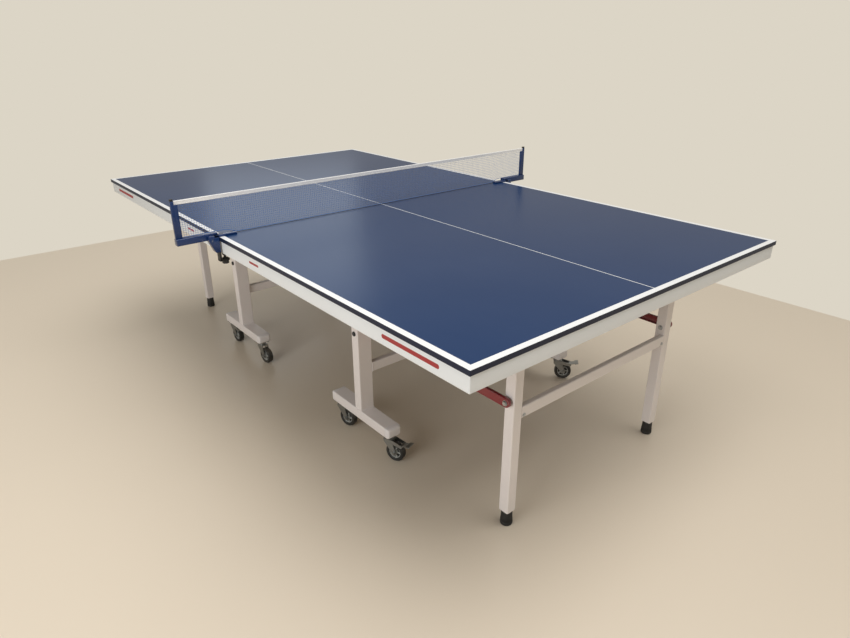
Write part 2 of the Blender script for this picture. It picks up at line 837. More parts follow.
class Fasteners(Repeater):
    """Bolt and screw heads at points, each turned along the point's aim."""

    BOARD_SCREW = BoltKind(3.6 * MM, 1.4 * MM, 14, 4.2 * MM, 0.55, Finishes.ZINC)
    PLATE_BOLT = BoltKind(4.6 * MM, 3.0 * MM, 6, 5.6 * MM, 0.86, Finishes.ZINC)
    BAR_BOLT = BoltKind(5.2 * MM, 2.6 * MM, 16, 6.2 * MM, 0.6, Finishes.STEEL_BOLT)
    LINK_BOLT = BoltKind(7.4 * MM, 4.2 * MM, 6, 9.0 * MM, 0.88, Finishes.STEEL_BOLT)
    AXLE_NUT = BoltKind(6.4 * MM, 4.0 * MM, 6, 7.6 * MM, 0.86, Finishes.ZINC)

    def __init__(self) -> None:
        """Wires the tree: a washer, a head and its crown on every point."""
        super().__init__("Bolt heads", (("Head Radius", "Float"), ("Head Height", "Float"), ("Head Sides", "Int"),
                                        ("Washer Radius", "Float"), ("Washer Height", "Float"), ("Crown", "Float"),
                                        ("Finish", "Material")))
        w = self.w
        washer = w.add("GeometryNodeMeshCylinder", Vertices=18, Radius=self.given("Washer Radius"),
                       Depth=self.given("Washer Height")).outputs[0]
        shank = w.math("MULTIPLY", self.given("Head Height"), 0.6)
        head = w.add("GeometryNodeMeshCylinder", Vertices=self.given("Head Sides"), Radius=self.given("Head Radius"),
                     Depth=shank).outputs[0]
        top = w.math("MULTIPLY", self.given("Head Height"), 0.4)
        crown = w.add("GeometryNodeMeshCone", Vertices=self.given("Head Sides"), Depth=top,
                      Radius_Bottom=self.given("Head Radius"),
                      Radius_Top=w.math("MULTIPLY", self.given("Head Radius"), self.given("Crown"))).outputs[0]
        washer_at = w.add("ShaderNodeCombineXYZ", Z=w.math("MULTIPLY", self.given("Washer Height"), 0.5)).outputs[0]
        head_at = w.add("ShaderNodeCombineXYZ", Z=w.math("MULTIPLY_ADD", shank, 0.5, self.given("Washer Height")))
        crown_at = w.add("ShaderNodeCombineXYZ", Z=w.math("ADD", shank, self.given("Washer Height")))
        parts = [w.add("GeometryNodeTransform", Geometry=washer, Translation=washer_at).outputs[0],
                 w.add("GeometryNodeTransform", Geometry=head, Translation=head_at.outputs[0]).outputs[0],
                 w.add("GeometryNodeTransform", Geometry=crown, Translation=crown_at.outputs[0]).outputs[0]]
        join = w.add("GeometryNodeJoinGeometry")
        for part in parts:
            w.tree.links.new(part, join.inputs[0])
        aim = w.add("GeometryNodeInputNamedAttribute", {"data_type": "FLOAT_VECTOR"}, Name="aim").outputs[0]
        turn = w.add("FunctionNodeAlignRotationToVector", {"axis": "Z"}, Vector=aim).outputs[0]
        placed = w.add("GeometryNodeInstanceOnPoints", Points=self.given("Geometry"), Instance=join.outputs[0],
                       Rotation=turn).outputs[0]
        self.close(placed)

    def fit(self, name: str, kind: BoltKind, spots: Sequence[tuple[Vector, Vector]], body: str) -> bpy.types.Object:
        """Puts a kind of head at every spot of one body.

        Args:
            name: The piece's name.
            kind: The kind of head.
            spots: The point on the surface and the direction away from it, for each head.
            body: The CAD body that they move with.

        Returns:
            The piece.
        """
        points = bpy.data.meshes.new(f"{name}.spots")
        points.from_pydata([tuple(at) for at, _ in spots], [], [])
        aim = points.attributes.new("aim", "FLOAT_VECTOR", "POINT")
        aim.data.foreach_set("vector", [c for _, way in spots for c in way])
        mesh = self.bake(points, Head_Radius=kind.head, Head_Height=kind.height, Head_Sides=kind.sides,
                         Washer_Radius=kind.washer, Washer_Height=1.2 * MM, Crown=kind.crown,
                         Finish=Finishes.get(kind.finish))
        return dress(self.shown(name, mesh), body)


# ---- the playing top and its apron ----


@dataclass
class PlayingTop:
    """One board: painted top with its lines, banded edge and bare underside."""

    half: Half
    side_line: float = 20 * MM
    centre_line: float = 3 * MM
    eased: float = 0.9 * MM

    def build(self) -> bpy.types.Object:
        """Makes the board in place of its CAD node.

        Returns:
            The board.
        """
        node = self.half.node("board")
        low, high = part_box(node)
        near_net, end = sorted((low.x, high.x), key=abs)
        xs = sorted((near_net, end - self.half.value * self.side_line, end))
        ys = [low.y, low.y + self.side_line, -self.centre_line / 2, self.centre_line / 2,
              high.y - self.side_line, high.y]
        bm = bmesh.new()
        top, under = ([[bm.verts.new((x, y, z)) for y in ys] for x in xs] for z in (high.z, low.z))
        end_strip = 1 if self.half is Half.NEAR else 0
        for i in range(len(xs) - 1):
            for j in range(len(ys) - 1):
                for row, number in ((top, int(i == end_strip or j % 2 == 0)), (under, 3)):
                    face = bm.faces.new((row[i][j], row[i + 1][j], row[i + 1][j + 1], row[i][j + 1]))
                    face.material_index = number
        across, along = len(xs) - 1, len(ys) - 1
        rim = ([(i, 0) for i in range(across)] + [(across, j) for j in range(along)]
               + [(i, along) for i in range(across, 0, -1)] + [(0, j) for j in range(along, 0, -1)])
        for (a, b), (c, d) in zip(rim, rim[1:] + rim[:1]):
            bm.faces.new((under[a][b], under[c][d], top[c][d], top[a][b])).material_index = 2
        board = Bench.piece(self.half.node("playing_board"), bm,
                            (Finishes.BOARD, Finishes.LINE, Finishes.LIPPING, Finishes.CHIPBOARD))
        ease = board.modifiers.new("eased edges", "BEVEL")
        ease.width, ease.segments, ease.limit_method, ease.angle_limit = self.eased, 2, "ANGLE", math.radians(50)
        return dress(board, body_of(node), (node,))


@dataclass
class Apron:
    """The folded steel rails under one board, with their end plugs, screws and red stripes."""

    half: Half
    sheet: float = 1.5 * MM
    bend: float = 2.4 * MM
    corner: float = 3 * MM
    depth: float = 20 * MM
    column_gap: float = 8 * MM
    column_width: float = 60 * MM
    plug: float = 10 * MM
    slack: float = 0.3 * MM
    bend_angles: tuple[int, ...] = (0, 22, 45, 68, 90)
    side_screws: tuple[float, ...] = (0.09, 0.32, 0.56, 0.80, 1.04, 1.28)
    end_screws: tuple[float, ...] = (-0.6, -0.3, 0.0, 0.3, 0.6)
    stripe_skin: float = 0.15 * MM
    stripes: tuple[tuple[float, float, float], ...] = ((0.25, 0.32, 8 * MM), (1.03, 1.26, 13 * MM))

    def __post_init__(self) -> None:
        """Reads where the rails and columns stand from the CAD."""
        self.low, self.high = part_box(self.half.node("side_rails"))
        cross_low, cross_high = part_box(self.half.node("cross_rails"))
        self.net_x, _ = sorted((self.low.x, self.high.x), key=abs)
        self.web_x, self.end_x = sorted((cross_low.x, cross_high.x), key=abs)
        self.column_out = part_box(self.half.node("columns"))[1].y

    def section(self) -> list[tuple[float, float]]:
        """Outlines the rail's folded section.

        Returns:
            The distance in from the rail's face and the height of each point.
        """
        bottom, top, r, t = self.low.z, self.high.z, self.bend, self.sheet
        arc = [(r - r * math.cos(a), r - r * math.sin(a)) for a in (math.radians(d) for d in self.bend_angles)]
        outer = [(d, bottom + z) for d, z in arc] + [(self.depth, bottom)]
        inner = [(self.depth, bottom + t), (r, bottom + t), (t, bottom + r)]
        lower = outer + inner
        upper = [(d, top - (z - bottom)) for d, z in reversed(lower)]
        return lower + upper

    def frame_rings(self) -> list[Ring]:
        """Carries the section round the two sides and the end of the table.

        Returns:
            The rings, from the left side's end at the net to the right side's.
        """
        s, r, section = self.half.value, self.corner, self.section()
        rings = [[Vector((self.net_x, self.low.y + d, z)) for d, z in section]]
        for way in (-1, 1):
            turns = [math.radians(d) for d in self.bend_angles]
            for a in turns if way == -1 else reversed(turns):
                ring = []
                for d, z in section:
                    if d < r:
                        x = self.end_x - s * r + s * (r - d) * math.sin(a)
                        y = way * (self.high.y - r + (r - d) * math.cos(a))
                    else:
                        x, y = self.end_x - s * d, way * (self.high.y - d)
                    ring.append(Vector((x, y, z)))
                rings.append(ring)
        rings.append([Vector((self.net_x, self.high.y - d, z)) for d, z in section])
        return rings

    def net_spans(self) -> list[tuple[float, float]]:
        """Finds the lengths of the rail beside the net, which is open at the columns.

        Returns:
            The start and end of each length, across the table.
        """
        inner = self.column_out - self.column_width - self.column_gap
        outer, side = self.column_out + self.column_gap, self.high.y - self.depth
        return [(-side, -outer), (-inner, inner), (outer, side)]

    def build(self) -> None:
        """Makes the rails, plugs, screws and stripes of one half."""
        s, name = self.half.value, self.half.name.lower()
        nodes = (self.half.node("side_rails"), self.half.node("cross_rails"))
        body = body_of(nodes[0])
        bm = bmesh.new()
        Bench.skin(bm, self.frame_rings())
        face_x = self.web_x + s * self.depth
        for start, end in self.net_spans():
            Bench.skin(bm, [[Vector((face_x - s * d, y, z)) for d, z in self.section()] for y in (start, end)])
        rails = Bench.piece(f"{name}_folded_rails", bm, (Finishes.RAIL,))
        dress(rails, body, nodes)
        self.plugs(body, face_x)
        self.screws(body)
        self.red_stripes(body)

    def plugs(self, body: str, face_x: float) -> None:
        """Closes the open ends of the rails with moulded plugs.

        Args:
            body: The CAD body that they move with.
            face_x: Where the outer face of the rail beside the net is.
        """
        s, t, long, slack = self.half.value, self.sheet, self.plug, self.slack
        bm = bmesh.new()
        low_z, high_z = self.low.z + t, self.high.z - t
        for hand in Hand:
            ys = sorted((hand.value * (self.high.y - t), hand.value * (self.high.y - self.depth)))
            xs = sorted((self.net_x + s * slack, self.net_x + s * long))
            Bench.block(bm, (xs[0], ys[0], low_z), (xs[1], ys[1], high_z), 2 * MM, axis=0)
        xs = sorted((face_x - s * t, face_x - s * self.depth))
        for start, end in self.net_spans():
            for y in (start, end - long):
                Bench.block(bm, (xs[0], y + slack, low_z), (xs[1], y + long - slack, high_z), 2 * MM, axis=1)
        dress(Bench.piece(f"{self.half.name.lower()}_rail_plugs", bm, (Finishes.CAP,)), body)

    def screws(self, body: str) -> None:
        """Puts the screws that hold the rails to the board in their lower flanges.

        Args:
            body: The CAD body that they move with.
        """
        s, down = self.half.value, Vector((0, 0, -1))
        inset = self.depth * 0.6
        spots = [(Vector((s * x, hand.value * (self.high.y - inset), self.low.z)), down)
                 for hand in Hand for x in self.side_screws]
        spots += [(Vector((self.end_x - s * inset, y, self.low.z)), down) for y in self.end_screws]
        HEADS.fit(f"{self.half.name.lower()}_rail_screws", Fasteners.BOARD_SCREW, spots, body)

    def red_stripes(self, body: str) -> None:
        """Lays two plain red stripes on each side rail.

        Args:
            body: The CAD body that they move with.
        """
        s, bm, thick = self.half.value, bmesh.new(), self.stripe_skin
        middle = (self.low.z + self.high.z) / 2 + 2 * MM
        for hand in Hand:
            face = hand.value * self.high.y
            for start, end, tall in self.stripes:
                outline = Bench.rounded(end - start, tall, tall * 0.45, 5)
                place = aimed(Vector((s * (start + end) / 2, face, middle)), Vector((0, hand.value, 0)),
                              Vector((1, 0, 0)))
                Bench.skin(bm, [[place @ Vector((u, v, h)) for u, v in outline] for h in (-thick, thick)])
        dress(Bench.piece(f"{self.half.name.lower()}_red_stripes", bm, (Finishes.STRIPE,)), body)


# ---- stands, legs and link bars ----


class Radial(Repeater):
    """Ribs that stand round an axis, as on a wheel's hub or a rubber foot."""

    def __init__(self) -> None:
        """Wires the tree: one block on every point of a circle, turned outwards."""
        super().__init__("Radial ribs", (("Count", "Int"), ("Inner Radius", "Float"), ("Outer Radius", "Float"),
                                         ("Thickness", "Float"), ("Height", "Float"), ("Finish", "Material")))
        w, given = self.w, self.given
        reach = w.math("SUBTRACT", given("Outer Radius"), given("Inner Radius"))
        size = w.add("ShaderNodeCombineXYZ", X=reach, Y=given("Thickness"), Z=given("Height")).outputs[0]
        rib = w.add("GeometryNodeMeshCube", Size=size).outputs[0]
        middle = w.math("MULTIPLY", w.math("ADD", given("Outer Radius"), given("Inner Radius")), 0.5)
        ring = w.add("GeometryNodeMeshCircle", Vertices=given("Count"), Radius=middle).outputs[0]
        turn = w.math("DIVIDE", w.math("MULTIPLY", w.add("GeometryNodeInputIndex").outputs[0], 2 * math.pi),
                      given("Count"))
        facing = w.add("ShaderNodeCombineXYZ", Z=turn).outputs[0]
        self.close(w.add("GeometryNodeInstanceOnPoints", Points=ring, Instance=rib, Rotation=facing).outputs[0])


class Rows(Repeater):
    """Small blocks in a row, as stitches on a hem or bars on a pedal."""

    def __init__(self) -> None:
        """Wires the tree: one block on every point of a line along X."""
        super().__init__("Rows of blocks", (("Count", "Int"), ("Pitch", "Float"), ("Size", "Vector"),
                                            ("Lean", "Float"), ("Finish", "Material")))
        w, given = self.w, self.given
        step = w.add("ShaderNodeCombineXYZ", X=given("Pitch")).outputs[0]
        line = w.add("GeometryNodeMeshLine", {"mode": "OFFSET"}, Count=given("Count"), Offset=step).outputs[0]
        block = w.add("GeometryNodeMeshCube", Size=given("Size")).outputs[0]
        lean = w.add("ShaderNodeCombineXYZ", Z=given("Lean")).outputs[0]
        self.close(w.add("GeometryNodeInstanceOnPoints", Points=line, Instance=block, Rotation=lean).outputs[0])


class WeldBeads(Repeater):
    """The overlapping ripples of a weld, on every point given."""

    def __init__(self) -> None:
        """Wires the tree: a squat ball of a seeded, slightly changing size on every point."""
        super().__init__("Weld beads", (("Bead Radius", "Float"), ("Seed", "Int"), ("Finish", "Material")))
        w, given = self.w, self.given
        bead = w.add("GeometryNodeMeshIcoSphere", Radius=given("Bead Radius"), Subdivisions=2).outputs[0]
        size = w.add("FunctionNodeRandomValue", {"data_type": "FLOAT"}, Seed=given("Seed"))
        size.inputs[2].default_value, size.inputs[3].default_value = 0.8, 1.15
        self.close(w.add("GeometryNodeInstanceOnPoints", Points=given("Geometry"), Instance=bead,
                         Scale=size.outputs[1]).outputs[0])

    def lay(self, name: str, spots: Sequence[Vector], body: str, finish: Finish) -> bpy.types.Object:
        """Lays beads on every spot and rides them on a body.

        Args:
            name: The piece's name.
            spots: Where the beads go.
            body: The CAD body that they move with.
            finish: Their finish.

        Returns:
            The piece.
        """
        points = bpy.data.meshes.new(f"{name}.spots")
        points.from_pydata([tuple(p) for p in spots], [], [])
        mesh = self.bake(points, Bead_Radius=2.2 * MM, Seed=4, Finish=Finishes.get(finish))
        mesh.shade_smooth()
        return dress(self.shown(name, mesh), body)


@dataclass
class TStand:
    """The wheeled stand of one half: its coated tubes, end caps, welds and castor plates."""

    half: Half
    cap: float = 24 * MM
    beam_height: float = 40 * MM
    column_width: float = 60 * MM
    spacing: float = 310 * MM
    bead_pitch: float = 3.4 * MM
    plate: float = 3 * MM
    bolt_reach: tuple[float, float] = (17.2 * MM, 21.2 * MM)

    def build(self) -> None:
        """Paints the kept CAD tubes and adds the stand's own pieces."""
        for part, finish in (("columns", Finishes.FRAME), ("foot_beams", Finishes.FRAME),
                             ("stand_crossbar", Finishes.FRAME), ("castor_mounts", Finishes.ZINC),
                             ("hinge_brackets", Finishes.FRAME), ("hinge_pins", Finishes.ZINC)):
            repaint(self.half.node(part), finish)
        self.end_caps()
        self.welds()
        self.plate_bolts()

    def end_caps(self) -> None:
        """Makes the moulded caps that close the foot beams."""
        node = self.half.node("beam_caps")
        low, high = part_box(node)
        beam_z = high.z - self.beam_height / 2
        bm = bmesh.new()
        profile = ((0, 0.7), (0.5, 0.1), (1.2, 0), (13, 0.15), (17, 0.9), (20, 2.4), (22.3, 4.8), (23.6, 7.6), (24, 11))
        for hand in Hand:
            for x, way in ((low.x, -1), (high.x, 1)):
                rings = []
                for at, inset in profile:
                    reach = x + way * (at * MM - self.cap)
                    rings.append([Vector((reach, hand.value * (high.y - self.column_width / 2) + u, beam_z + v))
                                  for u, v in Bench.rounded(self.column_width - 2 * inset * MM,
                                                            self.beam_height - 2 * inset * MM,
                                                            (4 + inset * 0.4) * MM)])
                Bench.skin(bm, rings)
        caps = Bench.piece(self.half.node("moulded_caps"), bm, (Finishes.CAP,), Shading.SOFT)
        dress(caps, body_of(node), (node,))

    def welds(self) -> None:
        """Lays the welds round the foot of each column and round the ends of the crossbar."""
        column_low, column_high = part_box(self.half.node("columns"))
        bar_low, bar_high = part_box(self.half.node("stand_crossbar"))
        spots = []
        for hand in Hand:
            middle = Vector(((column_low.x + column_high.x) / 2,
                             hand.value * (column_high.y - self.column_width / 2), column_low.z + 0.5 * MM))
            size = (column_high.x - column_low.x, self.column_width)
            spots += [middle + Vector((u, v, 0)) for u, v in self.walk(*size)]
            middle = Vector(((bar_low.x + bar_high.x) / 2, hand.value * (bar_high.y - 0.5 * MM),
                             (bar_low.z + bar_high.z) / 2))
            size = (bar_high.x - bar_low.x, bar_high.z - bar_low.z)
            spots += [middle + Vector((u, 0, v)) for u, v in self.walk(*size)]
        BEADS.lay(self.half.node("stand_welds"), spots, body_of(self.half.node("columns")), Finishes.FRAME)

    def walk(self, width: float, height: float) -> list[tuple[float, float]]:
        """Steps round a rounded rectangle at the pitch of the weld's ripples.

        Args:
            width: The rectangle's size along the first axis.
            height: Its size along the second axis.

        Returns:
            The place of each ripple about the rectangle's centre.
        """
        corners = Bench.rounded(width, height, 4 * MM)
        spots = []
        for (x0, y0), (x1, y1) in zip(corners, corners[1:] + corners[:1]):
            steps = max(1, round(math.hypot(x1 - x0, y1 - y0) / self.bead_pitch))
            spots += [(x0 + (x1 - x0) * i / steps, y0 + (y1 - y0) * i / steps) for i in range(steps)]
        return spots

    def plate_bolts(self) -> None:
        """Puts four bolts in every castor plate."""
        _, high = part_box(self.half.node("castor_mounts"))
        column_low, column_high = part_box(self.half.node("columns"))
        middle_x = (column_low.x + column_high.x) / 2
        plate_under, (along, across) = high.z - self.plate, self.bolt_reach
        spots = [(Vector((middle_x + side * self.spacing / 2 + u * along,
                          hand.value * (column_high.y - self.column_width / 2) + v * across, plate_under)),
                  Vector((0, 0, -1)))
                 for side in (-1, 1) for hand in Hand for u in (-1, 1) for v in (-1, 1)]
        HEADS.fit(self.half.node("castor_plate_bolts"), Fasteners.PLATE_BOLT, spots,
                  body_of(self.half.node("castor_mounts")))


@dataclass
class EndLegs:
    """The leg frame of one half: coated tubes, bolts and flared rubber feet."""

    half: Half
    tube: float = 38 * MM
    rib_middle: float = 17.5 * MM
    bolt_inset: float = 9 * MM
    bolt_rise: float = 0.25

    def build(self) -> None:
        """Paints the kept CAD tubes and adds the feet and bolts."""
        for part in ("legs", "leg_crossbar"):
            repaint(self.half.node(part), Finishes.FRAME)
        self.feet()
        self.bar_bolts()

    def leg_places(self) -> list[Vector]:
        """Returns where each leg stands on the floor."""
        low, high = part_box(self.half.node("legs"))
        return [Vector(((low.x + high.x) / 2, hand.value * (high.y - self.tube / 2), 0)) for hand in Hand]

    def feet(self) -> None:
        """Turns the rubber feet, with a ribbed band near the floor."""
        node = self.half.node("leg_feet")
        profile = [(0, 0), (14.5, 0), (17.6, 0.3), (19.2, 1.2), (20.2, 3), (20.5, 5.5), (20.5, 9), (20.1, 10.2),
                   (19.1, 11), (18.9, 12.6), (19.1, 14.2), (19.6, 15), (19.1, 26), (18.6, 38), (18.2, 48),
                   (17.9, 52), (17.3, 54.2), (16, 55), (0, 55)]
        bm = bmesh.new()
        for at in self.leg_places():
            Bench.turned(bm, [(max(r, 0.01) * MM, h * MM) for r, h in profile], Matrix.Translation(at), 48)
        for at in self.leg_places():
            ribs = RIBS.bake(bpy.data.meshes.new("axis"), Count=30, Inner_Radius=18 * MM, Outer_Radius=20 * MM,
                             Thickness=1.4 * MM, Height=8 * MM, Finish=Finishes.get(Finishes.RUBBER))
            ribs.transform(Matrix.Translation(at + Vector((0, 0, self.rib_middle))))
            bm.from_mesh(ribs)
        feet = Bench.piece(self.half.node("flared_feet"), bm, (Finishes.RUBBER,))
        dress(feet, body_of(node), (node,))

    def bar_bolts(self) -> None:
        """Puts a bolt in each end of the crossbar."""
        low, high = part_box(self.half.node("leg_crossbar"))
        s = self.half.value
        face = max((low.x, high.x), key=abs)
        height = low.z + (high.z - low.z) * self.bolt_rise
        spots = [(Vector((face, hand.value * (high.y - self.bolt_inset), height)), Vector((s, 0, 0)))
                 for hand in Hand]
        HEADS.fit(self.half.node("leg_bar_bolts"), Fasteners.BAR_BOLT, spots,
                  body_of(self.half.node("leg_crossbar")))


@dataclass
class LinkBars:
    """The pressed red bars between stands and legs, with their pivot hardware."""

    half: Half
    sheet: float = 2.5 * MM
    width: float = 12 * MM
    column_width: float = 60 * MM
    tube: float = 38 * MM
    shank: float = 4 * MM
    gap: float = 0.3 * MM
    stand_head: float = 9 * MM
    leg_bushing: float = 8 * MM

    def __post_init__(self) -> None:
        """Reads the bars' place from the CAD."""
        self.low, self.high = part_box(self.half.node("link_bars"))
        self.radius = (self.high.z - self.low.z) / 2
        self.z = (self.high.z + self.low.z) / 2
        self.pivots = sorted((self.low.x + self.radius, self.high.x - self.radius), key=abs)

    def slot_ring(self, inset: float, y: float) -> Ring:
        """Outlines the bar with round ends, a little inside its rim.

        Args:
            inset: How far inside the rim.
            y: Where the outline is, across the table.

        Returns:
            The outline's points.
        """
        ends = sorted(self.pivots)
        r, ring = self.radius - inset, []
        for x, start in ((ends[1], -90), (ends[0], 90)):
            for i in range(13):
                a = math.radians(start + 15 * i)
                ring.append(Vector((x + r * math.cos(a), y, self.z + r * math.sin(a))))
        return ring

    def build(self) -> None:
        """Makes the bars and their pivots."""
        self.bars()
        self.stand_pivots()
        self.leg_pivots()

    def bars(self) -> None:
        """Presses each bar: a web outside with a rim folded inwards all round."""
        node, t, outer = self.half.node("link_bars"), self.sheet / MM, self.high.y
        profile = ((2.2, 0), (1.0, 0.25), (0.3, 0.9), (0, 2.0), (0, self.width / MM - 0.5),
                   (0.3, self.width / MM - 0.1), (0.8, self.width / MM), (t - 0.8, self.width / MM),
                   (t - 0.2, self.width / MM - 0.2), (t, self.width / MM - 0.6), (t, t + 1.4), (t + 0.4, t + 0.4),
                   (t + 1.4, t))
        bm = bmesh.new()
        for hand in Hand:
            Bench.skin(bm, [self.slot_ring(inset * MM, hand.value * (outer - at * MM)) for inset, at in profile])
        bars = Bench.piece(self.half.node("pressed_links"), bm, (Finishes.LINK,), Shading.SOFT)
        Bench.mark_rims(bars, 0.6)
        dress(bars, body_of(node), (node,))

    def rod(self, bm: bmesh.types.BMesh, x: float, hand: Hand, start: float, end: float, radius: float,
            dome: float = 0.0) -> None:
        """Turns a bushing or head along Y.

        Args:
            bm: The mesh that gets the faces.
            x: Where its axis is, along the table.
            hand: The side of the table that it is on.
            start: The distance from the centre line where it starts.
            end: The distance where it ends.
            radius: Its radius.
            dome: The height of its domed end, if it has one.
        """
        place = aimed(Vector((x, hand.value * start, self.z)), Vector((0, hand.value, 0)), Vector((1, 0, 0)))
        long, ease = end - start, 0.5 * MM
        profile = [(0.01 * MM, 0), (radius - ease, 0), (radius, ease)]
        if dome:
            profile += [(radius, long - dome)]
            profile += [(radius * math.cos(a), long - dome + dome * math.sin(a))
                        for a in (math.radians(d) for d in (20, 40, 60, 78))]
        else:
            profile += [(radius, long - ease), (radius - ease, long)]
        Bench.turned(bm, profile + [(0.01 * MM, long)], place, 28)

    def stand_pivots(self) -> None:
        """Makes the domed black bolt through each column, its bushing and its nut."""
        node = self.half.node("link_bolts")
        column_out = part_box(self.half.node("columns"))[1].y
        column_in, web = column_out - self.column_width, self.high.y - self.sheet
        bm = bmesh.new()
        for hand in Hand:
            x = self.pivots[0]
            self.rod(bm, x, hand, column_out, column_out + 7 * MM, self.stand_head, dome=4.6 * MM)
            self.rod(bm, x, hand, self.high.y + self.gap, column_in, self.stand_head)
            self.rod(bm, x, hand, web - 4.3 * MM, column_out + MM, self.shank)
        bolts = Bench.piece(self.half.node("stand_pivot_bolts"), bm, (Finishes.BLACK_BOLT,))
        dress(bolts, body_of(node), (node,))
        spots = [(Vector((self.pivots[0], hand.value * (web - self.gap), self.z)), Vector((0, -hand.value, 0)))
                 for hand in Hand]
        HEADS.fit(self.half.node("stand_pivot_nuts"), Fasteners.AXLE_NUT, spots, body_of(node))

    def leg_pivots(self) -> None:
        """Makes the bright bolt through each leg, with its bushing, hexagon head and nut."""
        node = self.half.node("leg_bolts")
        leg_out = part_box(self.half.node("legs"))[1].y
        leg_in, web = leg_out - self.tube, self.high.y - self.sheet
        bm = bmesh.new()
        for hand in Hand:
            self.rod(bm, self.pivots[1], hand, leg_out, web - self.gap, self.leg_bushing)
            self.rod(bm, self.pivots[1], hand, leg_in - 2 * MM, self.high.y + MM, self.shank)
        bolts = Bench.piece(self.half.node("leg_pivot_bushings"), bm, (Finishes.ZINC,))
        dress(bolts, body_of(node), (node,))
        spots = [(Vector((self.pivots[1], hand.value * y, self.z)), Vector((0, hand.value * way, 0)))
                 for hand in Hand for y, way in ((self.high.y + 0.1 * MM, 1), (leg_in, -1))]
        HEADS.fit(self.half.node("leg_pivot_heads"), Fasteners.LINK_BOLT, spots, body_of(node))


# ---- castors ----


@dataclass
class Castor:
    """One castor: its zinc fork, rubber tyre, ribbed hub, axle nuts and brake pedal."""

    name: str
    braked: bool
    fork_face: float = 18.5 * MM

    def build(self) -> None:
        """Paints the fork and makes the wheel and the pedal's grip."""
        turn = joint(f"roll_{self.name}")
        axis = Vector(turn["axis"])
        self.place = aimed(Vector(turn["pos_m"]), axis, Vector((axis.y, -axis.x, 0)))
        repaint(f"fork_{self.name}", Finishes.ZINC)
        self.wheel()
        spots = [(self.place @ Vector((0, 0, way * self.fork_face)), axis * way) for way in (-1, 1)]
        HEADS.fit(f"axle_nuts_{self.name}", Fasteners.AXLE_NUT, spots, body_of(f"fork_{self.name}"))
        if self.braked:
            self.pedal()

    def wheel(self) -> None:
        """Turns the tyre and the hub, and stands the hub's ribs round its boss."""
        node = f"wheel_{self.name}"
        side = [(10, 3.2), (22.3, 3.2), (23.4, 4.4), (24.2, 9.8), (25.2, 10.6), (31, 11.6), (34.2, 12), (35.7, 11.4),
                (36.8, 9.8), (37.4, 7), (37.5, 1), (37.3, 0)]
        tyre = [(r, -h) for r, h in side] + side[-2::-1]
        boss = [(4.2, 13), (7.9, 13), (8.8, 12.4), (9.6, 5), (10.4, 2.8)]
        lip = [(21.6, 2.8), (21.8, 8.2), (22.4, 8.8), (23.4, 8.8), (24, 8.2), (24.2, 2.8)]
        bm = bmesh.new()
        self.hoop(bm, tyre, 56)
        dress(Bench.piece(f"tyre_{self.name}", bm, (Finishes.TYRE,)), body_of(node), (node,))
        bm = bmesh.new()
        self.hoop(bm, [(r, -h) for r, h in boss] + boss[::-1], 32)
        for way in (-1, 1):
            self.hoop(bm, [(r, way * h) for r, h in lip], 48)
        spokes = RIBS.bake(bpy.data.meshes.new("axis"), Count=5, Inner_Radius=8.6 * MM, Outer_Radius=22.4 * MM,
                           Thickness=3.6 * MM, Height=15 * MM, Finish=Finishes.get(Finishes.HUB))
        spokes.transform(self.place)
        bm.from_mesh(spokes)
        dress(Bench.piece(f"hub_{self.name}", bm, (Finishes.HUB,)), body_of(node))

    def hoop(self, bm: bmesh.types.BMesh, section: Sequence[tuple[float, float]], steps: int) -> None:
        """Turns a closed section, given in millimetres, round the wheel's axle."""
        Bench.turned(bm, [(r * MM, h * MM) for r, h in section], self.place, steps, hoop=True)

    def pedal(self) -> None:
        """Lays grip bars across the brake pedal."""
        node = f"brake_{self.name}"
        repaint(node, Finishes.ZINC)
        press = joint(f"brake_press_{self.name}")
        axis = Vector(press["axis"])
        level = Matrix.Translation(Vector(press["pos_m"])) @ Matrix((
            (axis.y, axis.x, 0), (-axis.x, axis.y, 0), (0, 0, 1))).to_4x4()
        place = level @ Matrix.Rotation(math.radians(-12), 4, "Y") @ Matrix.Translation((24 * MM, 0, 3.9 * MM))
        bars = ROWS.bake(bpy.data.meshes.new("row"), Count=4, Pitch=4 * MM, Size=(1.4 * MM, 30 * MM, 1.0 * MM),
                         Lean=0.0, Finish=Finishes.get(Finishes.ZINC))
        dress(ROWS.shown(f"pedal_grip_{self.name}", bars, place), body_of(node))


# ---- net, posts and clamps ----


